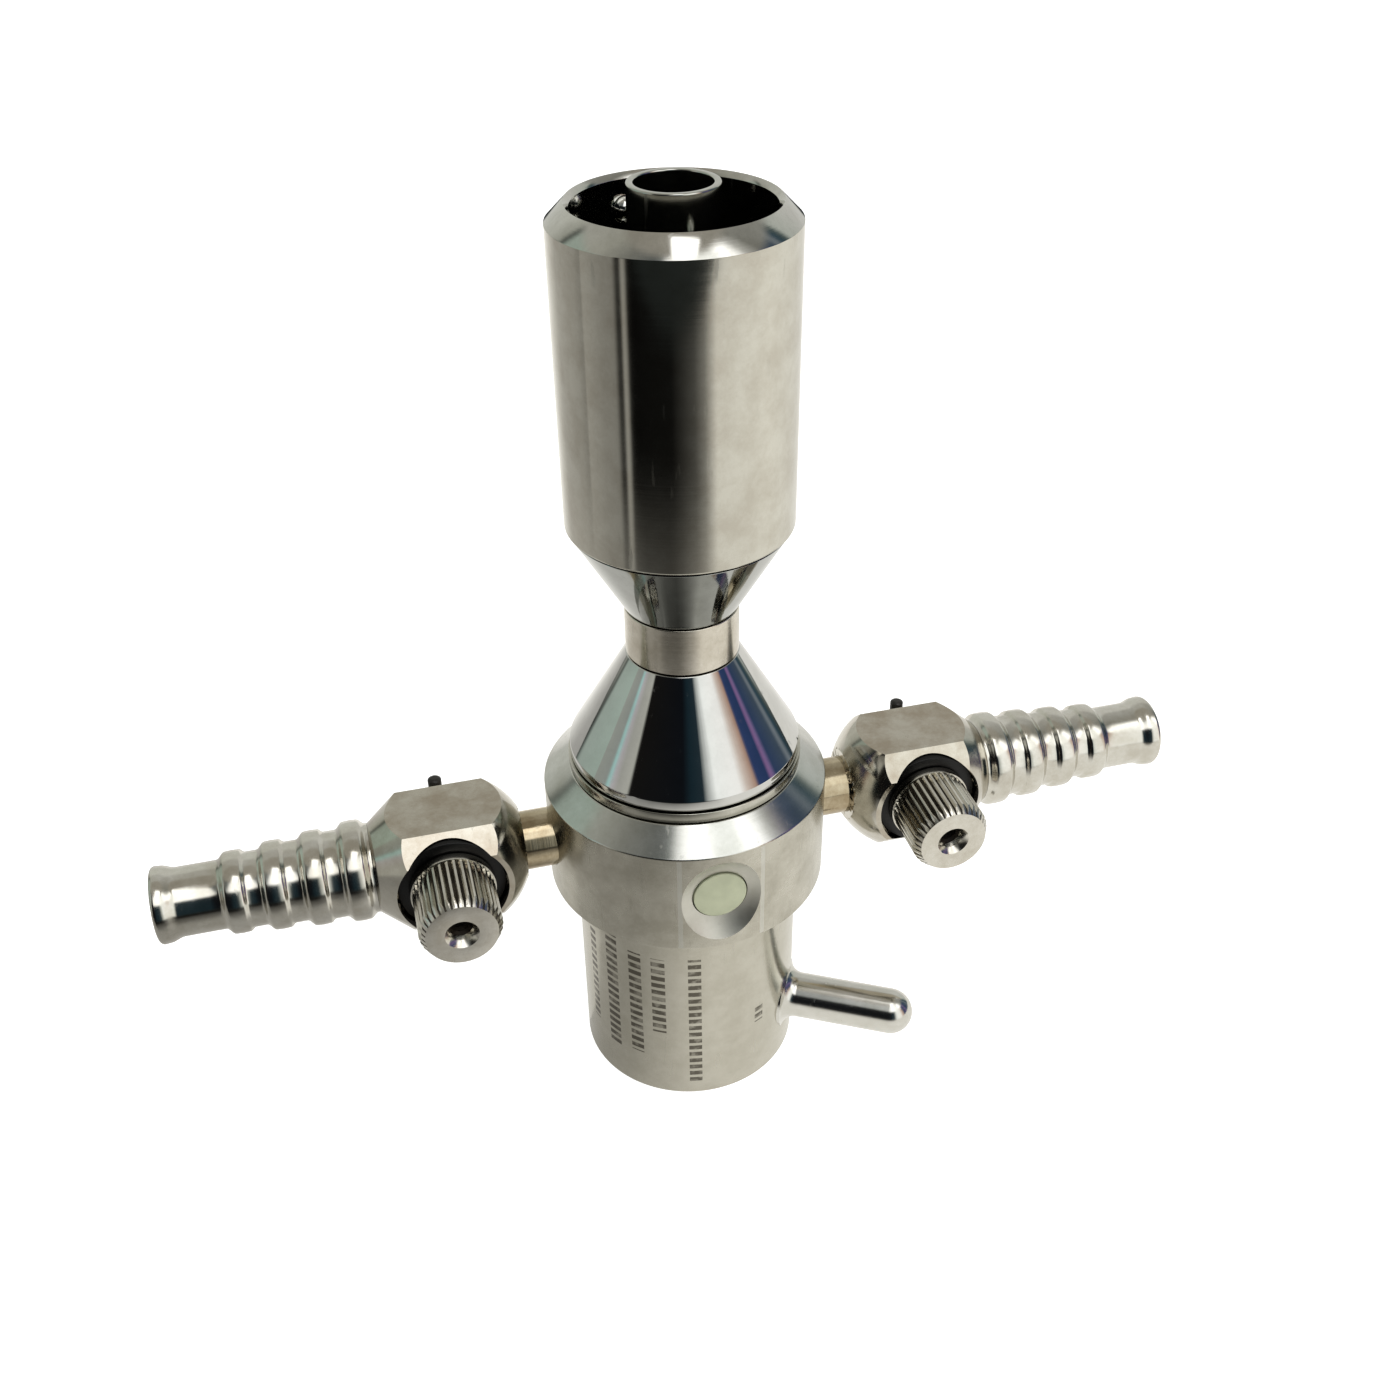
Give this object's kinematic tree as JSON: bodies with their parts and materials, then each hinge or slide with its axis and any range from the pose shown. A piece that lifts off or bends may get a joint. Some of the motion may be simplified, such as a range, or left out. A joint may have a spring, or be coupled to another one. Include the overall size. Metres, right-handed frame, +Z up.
{
  "type": "twin-stopcock endoscope sheath adaptor",
  "caption": "Steel tubular sheath adaptor: collar with opposed hose-barb stopcocks, push-button latch, side guide pin and a swivelling open cup around a central tube.",
  "frame": {"origin": "centre of the lower body's bottom face, on the axis that every turned piece shares", "axes": "+Z up the main axis towards the cup; the stopcocks' branch runs at 14 degrees from +X, and the button and the plugs' heads face the -Y side"},
  "size_m": [0.084, 0.0281, 0.0762],
  "materials": {
    "body_steel": "fine turned, semi-polished stainless steel",
    "satin_steel": "satin brushed stainless steel, faint warm tone",
    "polished_steel": "mirror polished stainless steel",
    "valve_steel": "satin stainless steel with light brown staining",
    "plug_steel": "splined stainless steel with a fine turned face",
    "warm_steel": "polished tube with a yellowish braze tint",
    "neck_steel": "satin steel, brownish",
    "spring_steel": "hard bright steel",
    "button_steel": "pale grey-green satin face",
    "seal_rubber": "black nitrile",
    "washer_black": "black filled fluoropolymer"
  },
  "bodies": {
    "base": {"lower_body": "body_steel", "guide_pin": "polished_steel", "socket_seal": "seal_rubber", "body_seal": "seal_rubber", "stopcock_collar": "satin_steel", "cap_ring": "satin_steel", "latch_spring": "spring_steel", "stem_right": "warm_steel", "valve_body_right": "valve_steel", "hose_barb_right": "polished_steel", "seal_washer_right": "washer_black", "stop_pin_right": "spring_steel", "stem_left": "warm_steel", "valve_body_left": "valve_steel", "hose_barb_left": "polished_steel", "seal_washer_left": "washer_black", "stop_pin_left": "spring_steel"},
    "coupling": {"shoulder_cone": "polished_steel", "spigot_seal": "seal_rubber", "neck_sleeve": "neck_steel", "cup_base": "polished_steel", "cup_sleeve": "satin_steel", "detent_ball_rear": "spring_steel", "detent_ball_front": "spring_steel", "inner_tube": "polished_steel"},
    "latch": {"latch_button": "button_steel", "latch_ring": "spring_steel"},
    "plug_right": {"valve_plug_right": "plug_steel"},
    "plug_left": {"valve_plug_left": "plug_steel"}
  },
  "joints": [
    {"name": "coupling_swivel", "type": "hinge", "parent": "base", "child": "coupling", "pos_m": [0, 0, 0.03185], "axis": [0, 0, 1], "continuous": true},
    {"name": "plug_right_turn", "type": "hinge", "parent": "base", "child": "plug_right", "pos_m": [0.01942, 0.00484, 0.0244], "axis": [0.2419, -0.9703, 0], "continuous": true},
    {"name": "plug_left_turn", "type": "hinge", "parent": "base", "child": "plug_left", "pos_m": [-0.01942, -0.00484, 0.0244], "axis": [0.2419, -0.9703, 0], "continuous": true},
    {"name": "latch_press", "type": "slide", "parent": "base", "child": "latch", "axis": [-0.2419, 0.9703, 0], "range_m": [0, 0.0007], "stiffness_N_per_m": 800, "springref_m": -0.0005, "deforming": ["latch_spring"]}
  ]
}
